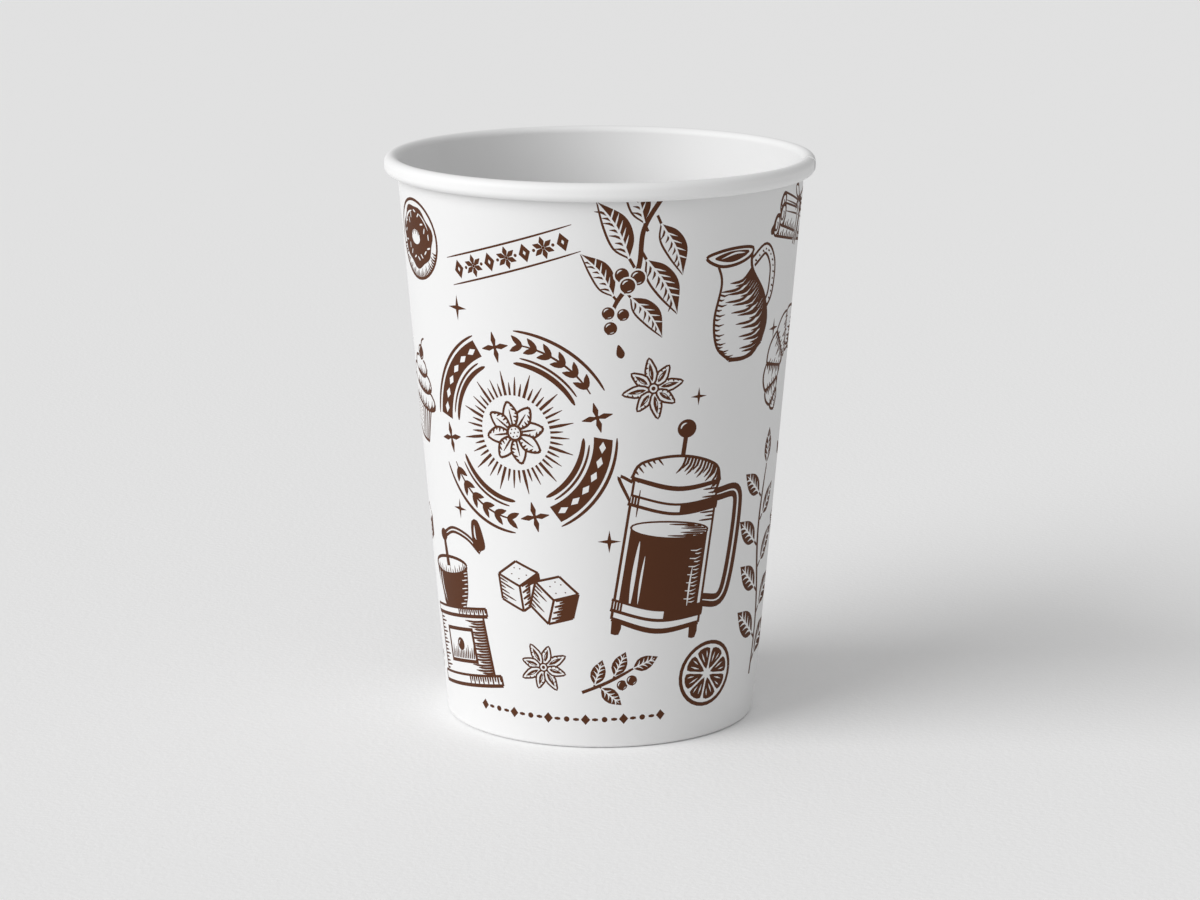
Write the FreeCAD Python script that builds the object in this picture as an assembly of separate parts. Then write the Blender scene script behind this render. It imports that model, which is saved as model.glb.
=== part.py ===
import FreeCAD, Part
import math
import os

# A single-wall paper cup of two pieces of coated board. The side wall is one sheet: rolled
# outwards into the rim, lapped at one side and folded up inside the foot. The base is a disc
# whose skirt stands in that fold. Millimetres, +Z up. The cup stands on z = 0 with its axis on
# Z, and its side seam faces +X.

# Overall sizes
rim_diameter = 73.0
foot_diameter = 53.0
cup_height = 97.0

# Boards
wall_board = 0.35
base_board = 0.30

# Rolled rim: one turn of board about an open core, taller than it is wide
roll_core_radius = 0.40
roll_turn_gap = 0.10
roll_side_flat = 0.70
roll_tuck_angle = 90.0

# Lapped side seam, measured half way up the wall
seam_lap = 7.0
seam_ramp = 2.6
seam_press = 0.05
seam_direction = 0.0

# Base disc and the hem that holds its skirt
base_recess = 8.6
base_corner_radius = 0.8
seal_gap = 0.04
skirt_end_gap = 0.15
hem_end_gap = 0.20

# Short flats that make up a quarter turn of each bend
roll_flats = 3
corner_flats = 2
crease_flats = 2

ORIGIN = FreeCAD.Vector(0, 0, 0)
UP = FreeCAD.Vector(0, 0, 1)
QUARTER_TURN = math.pi / 2
SAME_POINT = 1e-6

# The wall's lean follows from the rim and the foot: its coated face is the straight line from
# the inner corner of the fold that touches the outside of the roll.
roll_radius = roll_core_radius + 2 * wall_board + roll_turn_gap
roll_centre = (rim_diameter / 2 - roll_radius, cup_height - roll_radius)
fold_corner = (foot_diameter / 2 - wall_board, wall_board)
run = roll_centre[0] - fold_corner[0]
rise = roll_centre[1] - fold_corner[1]
lean = math.acos(roll_radius / math.hypot(run, rise)) - math.atan2(rise, run)
wall_length = run * math.sin(lean) + rise * math.cos(lean)
up_the_wall = QUARTER_TURN - lean

# The fold is as wide as the skirt and its two seals, and the hem ends below the disc's corner.
fold_width = (base_board + 2 * seal_gap) / math.cos(lean)
corner_height = base_recess - base_corner_radius
hem_length = (corner_height - hem_end_gap - wall_board) / math.cos(lean)


def wall_radius(height):
    """Radius of the wall's coated face at a height."""
    return fold_corner[0] + (height - fold_corner[1]) * math.tan(lean)


class BoardSection:
    """Half section of a bent board, walked along its coated face with the board on the right."""

    def __init__(self, radius, height, heading):
        self.stations = [(radius, height, heading)]

    def straight(self, length):
        radius, height, heading = self.stations[-1]
        radius += length * math.cos(heading)
        height += length * math.sin(heading)
        self.stations.append((radius, height, heading))

    def bend(self, turn, bend_radius, quarter_flats):
        """Turns left by a positive angle, or right by a negative one."""
        radius, height, heading = self.stations[-1]
        reach = math.copysign(bend_radius, turn)
        centre_radius = radius - reach * math.sin(heading)
        centre_height = height + reach * math.cos(heading)
        flats = max(1, round(quarter_flats * abs(turn) / QUARTER_TURN))
        for flat in range(1, flats + 1):
            now = heading + turn * flat / flats
            radius = centre_radius + reach * math.sin(now)
            height = centre_height - reach * math.cos(now)
            self.stations.append((radius, height, now))

    def face_line(self, depth):
        """Points at a depth into the board."""
        return [
            FreeCAD.Vector(radius + depth * math.sin(heading), 0, height - depth * math.cos(heading))
            for radius, height, heading in self.stations
        ]

    def outline(self, near, far):
        """Closed line round the board between two depths."""
        points = self.face_line(near) + self.face_line(far)[::-1]
        points.append(points[0])
        kept = points[:1]
        for point in points[1:]:
            if not point.isEqual(kept[-1], SAME_POINT):
                kept.append(point)
        return Part.makePolygon(kept)


def turned(outline, start, sweep):
    """Solid of an outline turned about the axis by a sweep, from a start angle, in degrees."""
    face = Part.Face(outline)
    face.rotate(ORIGIN, UP, start)
    return face.revolve(ORIGIN, UP, sweep)


def wall_section(with_tuck):
    """The side wall from the foot fold up and over the rim, with or without the inner turn."""
    section = BoardSection(*fold_corner, up_the_wall)
    section.straight(wall_length)
    section.bend(-up_the_wall, roll_radius, roll_flats)
    section.bend(-QUARTER_TURN, roll_radius, roll_flats)
    section.straight(roll_side_flat)
    section.bend(-QUARTER_TURN, roll_radius, roll_flats)
    if with_tuck:
        tuck_radius = roll_core_radius + wall_board
        section.bend(-math.radians(roll_tuck_angle), tuck_radius, roll_flats)
    return section


def hem_section():
    """The hem from its free edge down, and round the foot fold to the foot of the wall."""
    free_edge = (
        fold_corner[0] - fold_width + hem_length * math.sin(lean),
        fold_corner[1] + hem_length * math.cos(lean),
    )
    section = BoardSection(*free_edge, up_the_wall - 2 * QUARTER_TURN)
    section.straight(hem_length)
    section.bend(2 * QUARTER_TURN - up_the_wall, 0, crease_flats)
    section.straight(fold_width)
    section.bend(up_the_wall, 0, crease_flats)
    return section


def make_sidewall():
    """Side wall with its rolled rim, lapped seam and folded foot, as one piece of board."""
    middle_radius = wall_radius(cup_height / 2)
    lap_angle = math.degrees(seam_lap / middle_radius)
    ramp_angle = math.degrees(seam_ramp / middle_radius)
    lap_start = seam_direction - lap_angle / 2
    lap_end = seam_direction + lap_angle / 2
    lift = wall_board - seam_press
    rolled = wall_section(with_tuck=True)
    lapped = wall_section(with_tuck=False)
    round_the_cup = turned(rolled.outline(0, wall_board), lap_end, 360 - lap_angle - ramp_angle)
    lap = turned(lapped.outline(0, wall_board + lift), lap_start, lap_angle)
    ramp_foot = lapped.outline(0, wall_board)
    ramp_foot.rotate(ORIGIN, UP, lap_start - ramp_angle)
    ramp_top = lapped.outline(lift, wall_board + lift)
    ramp_top.rotate(ORIGIN, UP, lap_start)
    ramp = Part.makeLoft([ramp_foot, ramp_top], True, True)
    hem = turned(hem_section().outline(0, wall_board), seam_direction, 360)
    return round_the_cup.fuse([lap, ramp, hem]).removeSplitter()


def make_base_disc():
    """Base disc with its rounded corner and the skirt that stands in the foot fold."""
    outer_corner = base_corner_radius + base_board
    section = BoardSection(0, base_recess + base_board, 0)
    section.straight(wall_radius(corner_height) - (outer_corner + seal_gap) / math.cos(lean))
    section.bend(up_the_wall - 2 * QUARTER_TURN, outer_corner, corner_flats)
    skirt_top = section.stations[-1][1]
    section.straight((skirt_top - wall_board - skirt_end_gap) / math.cos(lean))
    return turned(section.outline(0, base_board), seam_direction, 360)


os.makedirs("parts", exist_ok=True)
for node, shape in (("sidewall", make_sidewall()), ("base_disc", make_base_disc())):
    solid = shape.Solids[0]
    solid.exportStep(f"parts/{node}.step")
    print(f"{node}: {len(shape.Solids)} solid, valid {solid.isValid()}, {solid.Volume:.1f} mm3")
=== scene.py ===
import math

import bpy
import numpy as np
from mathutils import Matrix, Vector
from mathutils.geometry import delaunay_2d_cdt


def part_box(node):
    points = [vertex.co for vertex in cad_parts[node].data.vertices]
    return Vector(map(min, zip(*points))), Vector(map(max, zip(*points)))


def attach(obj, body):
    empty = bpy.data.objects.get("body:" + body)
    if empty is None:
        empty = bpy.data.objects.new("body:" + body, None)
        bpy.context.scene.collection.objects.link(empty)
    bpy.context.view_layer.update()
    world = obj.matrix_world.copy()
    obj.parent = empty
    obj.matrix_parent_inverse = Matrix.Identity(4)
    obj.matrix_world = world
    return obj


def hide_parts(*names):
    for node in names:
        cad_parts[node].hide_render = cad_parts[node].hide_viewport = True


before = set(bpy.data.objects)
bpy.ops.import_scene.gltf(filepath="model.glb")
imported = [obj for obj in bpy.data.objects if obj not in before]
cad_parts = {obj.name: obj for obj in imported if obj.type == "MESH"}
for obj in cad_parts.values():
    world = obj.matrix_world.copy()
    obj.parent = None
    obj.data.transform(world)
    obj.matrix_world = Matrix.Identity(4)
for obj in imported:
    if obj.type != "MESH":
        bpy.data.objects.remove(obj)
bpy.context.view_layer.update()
scene = bpy.context.scene
MM = 0.001

# Camera
# The photo looks down a little on the cup's middle from half a metre or so, through a long lens
# that hardly shows any perspective.
def new_object(name, data):
    made = bpy.data.objects.new(name, data)
    scene.collection.objects.link(made)
    return made


look_at = Vector((0, 0, 45.44)) * MM
camera_distance = 623.8 * MM
camera_elevation = math.radians(12.6)

camera_data = bpy.data.cameras.new("camera")
camera_data.sensor_width = 36
camera_data.lens = 108.6
camera = new_object("camera", camera_data)
backwards = Vector((0, -math.cos(camera_elevation), math.sin(camera_elevation)))
camera.location = look_at + backwards * camera_distance
camera.rotation_euler = backwards.to_track_quat("Z", "Y").to_euler()
scene.camera = camera


# Floor
# A seamless sheet of matt white board that runs back past the top of the picture. Its surface
# has a fine grain, like plaster.
def node(tree, kind, inputs=None, **settings):
    """Adds a node to a tree with its settings, and gives its inputs values or links."""
    made = tree.nodes.new(kind)
    for name, value in settings.items():
        setattr(made, name, value)
    for key, value in (inputs or {}).items():
        if isinstance(value, bpy.types.NodeSocket):
            tree.links.new(value, made.inputs[key])
        else:
            made.inputs[key].default_value = value
    return made


def plain_material(name, colour, roughness, specular):
    """A material of one colour, and its tree and shader to add to."""
    material = bpy.data.materials.new(name)
    material.use_nodes = True
    tree = material.node_tree
    shader = tree.nodes["Principled BSDF"]
    shader.inputs["Base Color"].default_value = (*colour, 1)
    shader.inputs["Roughness"].default_value = roughness
    shader.inputs["Specular IOR Level"].default_value = specular
    return material, tree, shader


def grain_group():
    """Normal of a surface with fine round grains and, on top, fibres that mostly lie level."""
    group = bpy.data.node_groups.new("grain", "ShaderNodeTree")
    for name, start in (("Grain Size", 0.001), ("Grain Depth", 0.00001), ("Fibre Depth", 0.0)):
        socket = group.interface.new_socket(name, in_out="INPUT", socket_type="NodeSocketFloat")
        socket.default_value = start
    group.interface.new_socket("Normal", in_out="OUTPUT", socket_type="NodeSocketVector")
    given = group.nodes.new("NodeGroupInput")
    place = node(group, "ShaderNodeTexCoord").outputs["Object"]
    rate = node(group, "ShaderNodeMath", {0: 1.0, 1: given.outputs["Grain Size"]},
                operation="DIVIDE").outputs[0]
    grains = node(group, "ShaderNodeTexNoise", {"Vector": place, "Scale": rate, "Detail": 3.0})
    stretch = node(group, "ShaderNodeMapping", {"Vector": place, "Scale": (1.0, 1.0, 5.0)})
    fibres = node(group, "ShaderNodeTexNoise",
                  {"Vector": stretch.outputs[0], "Scale": rate, "Detail": 2.0, "Distortion": 1.5})
    grainy = node(group, "ShaderNodeBump",
                  {"Height": grains.outputs[0], "Distance": given.outputs["Grain Depth"]})
    fibrous = node(group, "ShaderNodeBump",
                   {"Height": fibres.outputs[0], "Distance": given.outputs["Fibre Depth"],
                    "Normal": grainy.outputs[0]})
    out = group.nodes.new("NodeGroupOutput")
    group.links.new(fibrous.outputs[0], out.inputs["Normal"])
    return group


def add_grain(tree, shader, size, depth, fibre_depth=0.0):
    """Gives a material the grain group's normal, with sizes in metres."""
    grained = node(tree, "ShaderNodeGroup", node_tree=grain)
    grained.inputs["Grain Size"].default_value = size
    grained.inputs["Grain Depth"].default_value = depth
    grained.inputs["Fibre Depth"].default_value = fibre_depth
    tree.links.new(grained.outputs["Normal"], shader.inputs["Normal"])


grain = grain_group()
floor_half = 4.0
floor_material, floor_tree, floor_shader = plain_material("floor", (0.92, 0.92, 0.92), 0.9, 0.2)
add_grain(floor_tree, floor_shader, 1.0 * MM, 0.07 * MM)
floor_mesh = bpy.data.meshes.new("floor")
floor_corners = [(x * floor_half, y * floor_half, 0)
                 for x, y in ((-1, -1), (1, -1), (1, 1), (-1, 1))]
floor_mesh.from_pydata(floor_corners, [], [(0, 1, 2, 3)])
floor_mesh.materials.append(floor_material)
floor = new_object("floor", floor_mesh)


# Base disc
# Die-cut disc of coated board. Its edge is drawn down over a round corner into a skirt, which
# stands in the fold at the wall's foot and is sealed there. Unprinted.
wall_board = 0.35
base_board = 0.30
rim_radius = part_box("sidewall")[1].x / MM
cup_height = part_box("sidewall")[1].z / MM
roll_radius = 1.2
fold_corner = np.array((26.15, 0.35))
roll_centre = np.array((rim_radius - roll_radius, cup_height - roll_radius))
run, rise = roll_centre - fold_corner
lean = math.acos(roll_radius / math.hypot(run, rise)) - math.atan2(rise, run)
wall_length = run * math.sin(lean) + rise * math.cos(lean)
up_the_wall = math.pi / 2 - lean


def wall_radius(height):
    """Radius of the wall's coated face at a height."""
    return fold_corner[0] + (height - fold_corner[1]) * math.tan(lean)


class Section:
    """Half section of a bent board: points along its coated face, with the board on the right."""

    support = 0.02

    def __init__(self, radius, height, heading):
        self.points = [np.array((radius, height))]
        self.heading = heading

    def straight(self, length, rows=()):
        """Goes straight on, with points near both ends that keep it straight where it's bent."""
        start = self.points[-1]
        ahead = np.array((math.cos(self.heading), math.sin(self.heading)))
        for distance in (self.support, *rows, length - self.support, length):
            self.points.append(start + ahead * distance)

    def bend(self, turn, radius, step=math.radians(8)):
        """Turns left by a positive angle, or right by a negative one."""
        reach = math.copysign(radius, turn)
        start = self.points[-1]
        centre = start + reach * np.array((-math.sin(self.heading), math.cos(self.heading)))
        count = math.ceil(abs(turn) / step)
        for index in range(1, count + 1):
            now = self.heading + turn * index / count
            self.points.append(centre + reach * np.array((math.sin(now), -math.cos(now))))
        self.heading += turn

    def lengths(self):
        """Distance of each point along the section."""
        steps = np.linalg.norm(np.diff(self.points, axis=0), axis=1)
        return np.concatenate(([0.0], np.cumsum(steps)))

    def curve(self, name):
        """The section as a curve object in the plane of X and Z."""
        data = bpy.data.curves.new(name, "CURVE")
        data.dimensions = "3D"
        line = data.splines.new("POLY")
        line.points.add(len(self.points) - 1)
        for point, (radius, height) in zip(line.points, self.points):
            point.co = (radius * MM, 0, height * MM, 1)
        return new_object(name, data)


class Blank:
    """Closed flat sheet of board in coordinates of angle, length along the section and depth."""

    PRINT_SIDE, COATED_SIDE, CUT_EDGE = 0, 1, 2
    BARE, INKED, COATED, PRESSED = 0, 1, 2, 3
    FINISHES = ("Bare", "Inked", "Coated", "Pressed")

    def __init__(self, angles, lengths, board):
        self.angles = angles
        self.lengths = lengths
        self.board = board
        self.corners = []
        self.faces = []
        self.sides = []
        self.finishes = []

    def add(self, corners, faces, side, finishes=None):
        first = len(self.corners)
        self.corners += corners
        self.faces += [tuple(first + index for index in face) for face in faces]
        self.sides += [side] * len(faces)
        plain = self.COATED if side == self.COATED_SIDE else self.BARE
        self.finishes += finishes or [plain] * len(faces)

    def add_grid(self, across, along, place, side, finish=None):
        """Grid of faces whose corners are place(a, b), counter-clockwise seen from outside."""
        corners = [place(a, b) for a in across for b in along]
        count = len(along)
        faces = [
            (i * count + j, (i + 1) * count + j, (i + 1) * count + j + 1, i * count + j + 1)
            for i in range(len(across) - 1)
            for j in range(count - 1)
        ]
        self.add(corners, faces, side, [finish] * len(faces) if finish else None)

    def add_coated_side(self):
        self.add_grid(self.lengths, self.angles, lambda s, a: (a, s, 0), self.COATED_SIDE)

    def add_print_side(self, lengths, finish=None):
        self.add_grid(self.angles, lengths, lambda a, s: (a, s, self.board), self.PRINT_SIDE,
                      finish)

    def add_start_edge(self):
        first = self.lengths[0]
        self.add_grid(self.angles, (0, self.board), lambda a, d: (a, first, d), self.CUT_EDGE)

    def add_end_edge(self):
        last = self.lengths[-1]
        self.add_grid((0, self.board), self.angles, lambda d, a: (a, last, d), self.CUT_EDGE)

    def add_seam_edges(self):
        depths = (0, self.board)
        first, last = self.angles[0], self.angles[-1]
        self.add_grid(depths, self.lengths, lambda d, s: (first, s, d), self.CUT_EDGE)
        self.add_grid(self.lengths, depths, lambda s, d: (last, s, d), self.CUT_EDGE)

    def mesh(self, name):
        mesh = bpy.data.meshes.new(name)
        corners = np.array(self.corners, float) * (1, MM, MM)
        mesh.from_pydata([tuple(corner) for corner in corners], [], self.faces)
        side = mesh.attributes.new("side", "INT", "FACE")
        side.data.foreach_set("value", self.sides)
        finish = mesh.attributes.new("finish", "INT", "FACE")
        finish.data.foreach_set("value", self.finishes)
        self.lay_out_map(mesh)
        return mesh

    def lay_out_map(self, mesh):
        """Flat map of the sheet: print side above, coated side below, cut edges in the margins."""
        margin = 0.004
        angle_span = self.angles[-1] - self.angles[0]
        length_span = self.lengths[-1] - self.lengths[0]
        uv = mesh.uv_layers.new(name="OFBake")
        for polygon, side in zip(mesh.polygons, self.sides):
            for loop in polygon.loop_indices:
                angle, length, depth = self.corners[mesh.loops[loop].vertex_index]
                u = (angle - self.angles[0]) / angle_span
                v = (length - self.lengths[0]) / length_span
                thin = depth / self.board * margin / 2
                if side == self.CUT_EDGE:
                    u = u + thin - margin if u < 0.5 else u - thin + margin
                    v = v + thin / 2
                low = 0.5 if side == self.PRINT_SIDE else 0.0
                uv.data[loop].uv = (
                    2 * margin + u * (1 - 4 * margin),
                    low + 2 * margin + v * (0.5 - 4 * margin),
                )


# Values of a lap: the angles where its lower end stops and its upper end climbs a ramp, the
# board and the seal, the shares of the board's thickness that are left on the wall and where it
# is crimped, and the lengths between which one share gives way to the other
LAP_VALUES = ("Under End", "Under Ease", "Ramp Start", "Ramp End", "Board", "Seal",
              "Wall Share", "Crimp Share", "Foot Start", "Foot End", "Rim Start", "Rim End")


def add_sockets(tree, kind, names):
    for name in names:
        tree.interface.new_socket(name, in_out="INPUT", socket_type="NodeSocket" + kind)


def board_point_group():
    """Point of a bent, lapped board from its angle round the axis, its length and its depth.

    Where the board lies under or over its other end it is pressed to a share of its thickness,
    and the upper end is lifted on a ramp to lie on the lower one.
    """
    group = bpy.data.node_groups.new("board_point", "GeometryNodeTree")
    add_sockets(group, "Geometry", ("Section",))
    add_sockets(group, "Float", ("Angle", "Length", "Depth") + LAP_VALUES)
    group.interface.new_socket("Point", in_out="OUTPUT", socket_type="NodeSocketVector")
    given = group.nodes.new("NodeGroupInput").outputs

    def smooth(value, start, end, low, high):
        return node(group, "ShaderNodeMapRange",
                    {"Value": value, "From Min": start, "From Max": end,
                     "To Min": low, "To Max": high},
                    interpolation_type="SMOOTHSTEP").outputs[0]

    def maths(operation, first, second):
        return node(group, "ShaderNodeMath", {0: first, 1: second}, operation=operation).outputs[0]

    def vectors(operation, inputs):
        return node(group, "ShaderNodeVectorMath", inputs, operation=operation).outputs[0]

    under_end = given["Under End"]
    under = smooth(given["Angle"], under_end, maths("ADD", under_end, given["Under Ease"]), 1, 0)
    over = smooth(given["Angle"], given["Ramp Start"], given["Ramp End"], 0, 1)
    off_foot = smooth(given["Length"], given["Foot Start"], given["Foot End"], 0, 1)
    off_rim = smooth(given["Length"], given["Rim Start"], given["Rim End"], 1, 0)
    relief = maths("MULTIPLY", maths("MULTIPLY", off_foot, off_rim),
                   maths("SUBTRACT", given["Wall Share"], given["Crimp Share"]))
    share = maths("ADD", given["Crimp Share"], relief)
    squeeze = maths("MULTIPLY", maths("ADD", under, over), maths("SUBTRACT", 1, share))
    pressed = maths("MULTIPLY", given["Depth"], maths("SUBTRACT", 1, squeeze))
    layer = maths("ADD", maths("MULTIPLY", share, given["Board"]), given["Seal"])
    depth = maths("ADD", pressed, maths("MULTIPLY", over, layer))

    on_face = node(group, "GeometryNodeSampleCurve",
                   {"Curves": given["Section"], "Length": given["Length"]}, mode="LENGTH")
    across = vectors("CROSS_PRODUCT", {0: (0, 1, 0), 1: on_face.outputs["Tangent"]})
    into = vectors("SCALE", {0: vectors("NORMALIZE", {0: across}), "Scale": depth})
    point = vectors("ADD", {0: on_face.outputs["Position"], 1: into})
    turned = node(group, "ShaderNodeVectorRotate",
                  {"Vector": point, "Angle": given["Angle"]}, rotation_type="Z_AXIS")
    out = group.nodes.new("NodeGroupOutput")
    group.links.new(turned.outputs[0], out.inputs["Point"])
    return group


def wrap_tree():
    """Bends a flat blank round the axis along its section and gives it its finishes."""
    tree = bpy.data.node_groups.new("wrap", "GeometryNodeTree")
    add_sockets(tree, "Geometry", ("Blank",))
    add_sockets(tree, "Object", ("Section",))
    add_sockets(tree, "Float", LAP_VALUES)
    add_sockets(tree, "Material", Blank.FINISHES)
    tree.interface.new_socket("Wrapped", in_out="OUTPUT", socket_type="NodeSocketGeometry")
    given = tree.nodes.new("NodeGroupInput").outputs
    section = node(tree, "GeometryNodeObjectInfo", {"Object": given["Section"]})
    place = node(tree, "GeometryNodeInputPosition").outputs[0]
    board_point = board_point_group()
    small_angle, small_length = 1e-3, 2e-5
    smallest_step = 1e-6
    weld_distance = 2e-7

    def vectors(operation, inputs):
        return node(tree, "ShaderNodeVectorMath", inputs, operation=operation).outputs[0]

    def bent(shift):
        """Where the blank's points go, or those a little beside them."""
        flat = node(tree, "ShaderNodeSeparateXYZ", {0: vectors("ADD", {0: place, 1: shift})})
        made = node(tree, "GeometryNodeGroup", node_tree=board_point)
        tree.links.new(section.outputs["Geometry"], made.inputs["Section"])
        for name, axis in (("Angle", "X"), ("Length", "Y"), ("Depth", "Z")):
            tree.links.new(flat.outputs[axis], made.inputs[name])
        for name in LAP_VALUES:
            tree.links.new(given[name], made.inputs[name])
        return made.outputs[0]

    round_axis = vectors("SUBTRACT", {0: bent((small_angle, 0, 0)), 1: bent((-small_angle, 0, 0))})
    along = vectors("SUBTRACT", {0: bent((0, small_length, 0)), 1: bent((0, -small_length, 0))})
    # At the disc's middle all angles meet, and this step still gives each of them its direction.
    sideways = node(tree, "ShaderNodeVectorRotate",
                    {"Vector": (0, smallest_step, 0),
                     "Angle": node(tree, "ShaderNodeSeparateXYZ", {0: place}).outputs["X"]},
                    rotation_type="Z_AXIS")
    round_axis = vectors("ADD", {0: round_axis, 1: sideways.outputs[0]})
    facing = vectors("NORMALIZE", {0: vectors("CROSS_PRODUCT", {0: round_axis, 1: along})})
    marked = node(tree, "GeometryNodeStoreNamedAttribute",
                  {"Geometry": given["Blank"], "Name": "facing", "Value": facing},
                  data_type="FLOAT_VECTOR", domain="POINT").outputs[0]
    shaped = node(tree, "GeometryNodeSetPosition",
                  {"Geometry": marked, "Position": bent((0, 0, 0))}).outputs[0]
    closed = node(tree, "GeometryNodeMergeByDistance",
                  {"Geometry": shaped, "Distance": weld_distance}).outputs[0]
    finish = node(tree, "GeometryNodeInputNamedAttribute", {"Name": "finish"}, data_type="INT")
    for index, name in enumerate(Blank.FINISHES):
        chosen = node(tree, "FunctionNodeCompare",
                      {2: finish.outputs["Attribute"], 3: index},
                      data_type="INT", operation="EQUAL").outputs[0]
        painted = node(tree, "GeometryNodeSetMaterial",
                       {"Geometry": closed, "Selection": chosen, "Material": given[name]})
        closed = painted.outputs[0]
    realized = node(tree, "GeometryNodeRealizeInstances", {"Geometry": closed}).outputs[0]
    out = tree.nodes.new("NodeGroupOutput")
    tree.links.new(realized, out.inputs["Wrapped"])
    return tree


def wrapped_piece(name, blank, section, values):
    """The blank bent to its shape as a plain mesh, with the true normals of the bent board."""
    flat = blank.mesh(name + "_blank")
    flat.materials.append(values["Bare"])
    piece = new_object(name, flat)
    line = section.curve(name + "_section")
    modifier = piece.modifiers.new("wrap", "NODES")
    modifier.node_group = wrap
    sockets = {item.name: item.identifier for item in wrap.interface.items_tree}
    for key, value in {"Section": line, **values}.items():
        modifier[sockets[key]] = value
    bpy.context.view_layer.update()
    shaped = piece.evaluated_get(bpy.context.evaluated_depsgraph_get())
    mesh = bpy.data.meshes.new_from_object(shaped)
    piece.modifiers.clear()
    piece.data = mesh
    bpy.data.objects.remove(line)
    set_true_normals(mesh)
    return piece


def set_true_normals(mesh):
    """Corner normals: the bent board's on its two sides, and each face's own on cut edges."""
    def values(items, name, kind, width):
        found = np.empty(len(items) * width, kind)
        items.foreach_get(name, found)
        return found.reshape(-1, width)

    facing = values(mesh.attributes["facing"].data, "vector", np.float32, 3)
    side = values(mesh.attributes["side"].data, "value", np.int32, 1)
    corners = values(mesh.loops, "vertex_index", np.int32, 1)[:, 0]
    flat = values(mesh.polygons, "normal", np.float32, 3)
    sizes = values(mesh.polygons, "loop_total", np.int32, 1)[:, 0]
    corner_side = np.repeat(side, sizes, axis=0)
    normals = np.where(corner_side == Blank.COATED_SIDE, -facing[corners], facing[corners])
    normals = np.where(corner_side == Blank.CUT_EDGE,
                       np.repeat(flat, sizes, axis=0), normals)
    mesh.polygons.foreach_set("use_smooth", [True] * len(mesh.polygons))
    mesh.normals_split_custom_set(normals.tolist())
    for name in ("facing", "side", "finish"):
        mesh.attributes.remove(mesh.attributes[name])


def board_material(name, colour, roughness, specular):
    """A material with the very fine grain and fibres of board."""
    material, tree, shader = plain_material(name, colour, roughness, specular)
    add_grain(tree, shader, 0.5 * MM, 0.002 * MM, 0.004 * MM)
    return material


wrap = wrap_tree()
bare_look = ((0.76, 0.76, 0.76), 0.7, 0.15)
bare_material = board_material("bare_board", *bare_look)
coated_material = board_material("coated_board", (0.81, 0.81, 0.81), 0.5, 0.3)

base_recess = 8.6
corner_radius = 1.1
seal_gap = 0.04
skirt_end = 0.55
corner_height = base_recess + base_board - corner_radius
disc_section = Section(0, base_recess + base_board, 0)
disc_section.straight(wall_radius(corner_height) - (corner_radius + seal_gap) / math.cos(lean),
                      rows=(8, 16))
disc_section.bend(up_the_wall - math.pi, corner_radius)
disc_section.straight((disc_section.points[-1][1] - skirt_end) / math.cos(lean))
disc_sectors = 144
disc_blank = Blank(np.linspace(0, 2 * math.pi, disc_sectors + 1), disc_section.lengths(),
                   base_board)
disc_blank.add_coated_side()
disc_blank.add_print_side(disc_section.lengths())
disc_blank.add_end_edge()
# The disc isn't lapped, so these lie beyond all its angles and lengths.
no_lap = {"Under End": -2, "Under Ease": 1, "Ramp Start": 8, "Ramp End": 9,
          "Wall Share": 1, "Crimp Share": 1, "Foot Start": 0, "Foot End": 1,
          "Rim Start": 8, "Rim End": 9, "Seal": 0}
disc = wrapped_piece("base_disc_board", disc_blank, disc_section, {
    **no_lap, "Board": base_board * MM,
    "Bare": bare_material, "Inked": bare_material, "Coated": coated_material,
    "Pressed": bare_material})
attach(disc, "root")
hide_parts("base_disc")


# Print
# One brown ink on the wall's outer side, printed on the flat sheet before it is cut and wrapped.
# It is drawn in mm as fields and strokes in layers, each of ink or of bare board. Every motif is
# a list of closed lines about its own middle.
ink_material = board_material("brown_ink", (0.086, 0.029, 0.012), 0.6, 0.12)
ink_spread = 0.05


def spline(points, closed=False, step=0.8, least=2):
    """Smooth line through points, sampled at a step and with least spans between points."""
    points = [np.array(point, float) for point in points]
    if len(points) < 3:
        count = max(1, math.ceil(np.linalg.norm(points[1] - points[0]) / step / 2))
        return [points[0] + (points[1] - points[0]) * i / count for i in range(count + 1)]
    if closed:
        around = [points[-1], *points, points[0], points[1]]
    else:
        around = [2 * points[0] - points[1], *points, 2 * points[-1] - points[-2]]
    line = [points[0]]
    for before, start, end, after in zip(around, around[1:], around[2:], around[3:]):
        count = max(least, math.ceil(np.linalg.norm(end - start) / step))
        for i in range(1, count + 1):
            t = i / count
            line.append(0.5 * (2 * start + (end - before) * t
                               + (2 * before - 5 * start + 4 * end - after) * t ** 2
                               + (3 * start - before - 3 * end + after) * t ** 3))
    return line


def ring(centre, across, up, tilt=0.0, turn=(0, 360), count=28):
    """Arc of an ellipse, in degrees, with the ellipse tilted about its centre."""
    angles = np.radians(np.linspace(*turn, count + 1))
    flat = np.column_stack((across * np.cos(angles), up * np.sin(angles)))
    return list(flat @ turn_matrix(tilt).T + centre)


def turn_matrix(degrees):
    c, s = math.cos(math.radians(degrees)), math.sin(math.radians(degrees))
    return np.array(((c, -s), (s, c)))


def moved(shapes, place, tilt=0.0, size=1.0, flip=False):
    """Shapes set down at a place, turned, sized, and mirrored if wanted."""
    change = turn_matrix(tilt) @ np.diag((-size if flip else size, size))
    return [(np.array(line) @ change.T + place, inked) for line, inked in shapes]


def field(line, inked=True):
    """A closed line filled with ink, or with bare board."""
    return [(np.array(line), inked)]


def bare(line):
    return field(line, inked=False)


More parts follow.
